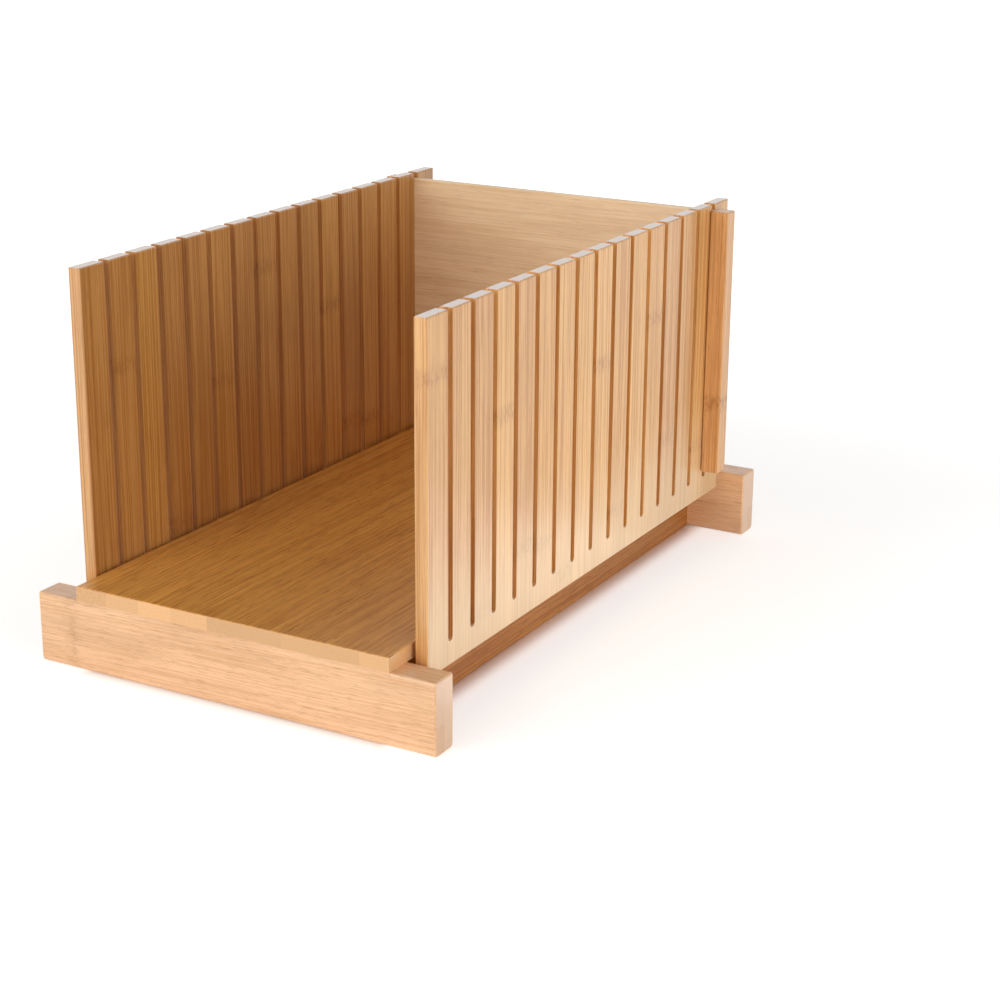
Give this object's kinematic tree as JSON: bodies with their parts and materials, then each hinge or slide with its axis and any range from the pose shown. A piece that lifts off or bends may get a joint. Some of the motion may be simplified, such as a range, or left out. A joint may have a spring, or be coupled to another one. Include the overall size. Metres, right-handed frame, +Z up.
{
  "type": "bread slicer guide",
  "caption": "Bamboo bread slicer guide: a base board on cross rails and stretchers, slotted guides pivoting at both sides and a lift-out back stop.",
  "frame": {"origin": "on the table under the middle of the footprint", "axes": "+Z up, +X to the right seen from the open front, -Y towards the user at the open front end"},
  "size_m": [0.19, 0.304, 0.165],
  "materials": {
    "rail_bamboo": "satin varnish",
    "board_bamboo": "satin varnish",
    "guide_bamboo": "satin varnish",
    "stop_bamboo": "satin varnish",
    "dowel_wood": "raw",
    "pin_steel": "bright"
  },
  "bodies": {
    "base": {"front_rail_outer_ply": "rail_bamboo", "front_rail_inner_ply": "rail_bamboo", "front_rail_dowels": "dowel_wood", "rear_rail_outer_ply": "rail_bamboo", "rear_rail_inner_ply": "rail_bamboo", "rear_rail_dowels": "dowel_wood", "left_stretcher": "rail_bamboo", "right_stretcher": "rail_bamboo", "stretcher_dowels": "dowel_wood", "board_stave_1": "board_bamboo", "board_stave_2": "board_bamboo", "board_stave_3": "board_bamboo", "board_stave_4": "board_bamboo", "board_stave_5": "board_bamboo", "board_stave_6": "board_bamboo", "board_stave_7": "board_bamboo", "board_stave_8": "board_bamboo", "board_stave_9": "board_bamboo", "left_front_pivot_pin": "pin_steel", "left_rear_pivot_pin": "pin_steel", "right_front_pivot_pin": "pin_steel", "right_rear_pivot_pin": "pin_steel"},
    "left_guide": {"left_guide": "guide_bamboo"},
    "right_guide": {"right_guide": "guide_bamboo"},
    "back_stop": {"back_stop_plate": "stop_bamboo", "back_stop_left_cleat": "stop_bamboo", "back_stop_right_cleat": "stop_bamboo"}
  },
  "joints": [
    {"name": "back_stop_lift", "type": "slide", "parent": "base", "child": "back_stop", "axis": [0, 0, 1], "range_m": [0, 0.14]},
    {"name": "left_guide_pivot", "type": "hinge", "parent": "base", "child": "left_guide", "pos_m": [-0.0797, 0, 0.0277], "axis": [0, 1, 0], "range_deg": [0, 12]},
    {"name": "right_guide_pivot", "type": "hinge", "parent": "base", "child": "right_guide", "pos_m": [0.0797, 0, 0.0277], "axis": [0, -1, 0], "range_deg": [0, 12]}
  ]
}
